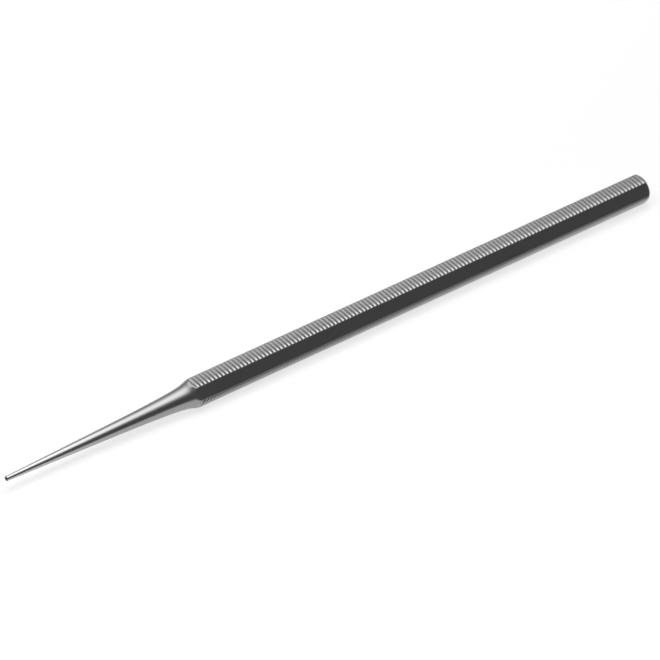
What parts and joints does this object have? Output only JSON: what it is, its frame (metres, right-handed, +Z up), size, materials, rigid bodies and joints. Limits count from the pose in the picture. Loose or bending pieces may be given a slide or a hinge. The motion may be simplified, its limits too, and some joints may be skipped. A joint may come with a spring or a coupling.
{
  "type": "podiatry probe",
  "caption": "Slim steel foot-care probe: hexagonal handle with fine cross ridges and smooth flats, a turned neck and a long tapered point with a blunt tip.",
  "frame": {"origin": "on the surface that the probe lies on, below the middle of its overall length", "axes": "+X along the probe's axis from the blunt tip to the end of the handle, +Z up from the flat of the handle that it lies on"},
  "size_m": [0.14, 0.0058, 0.005],
  "materials": {
    "satin_stainless_steel": "satin, glass-bead blasted and lightly polished stainless steel"
  },
  "bodies": {
    "root": {"probe": "satin_stainless_steel"}
  },
  "joints": []
}
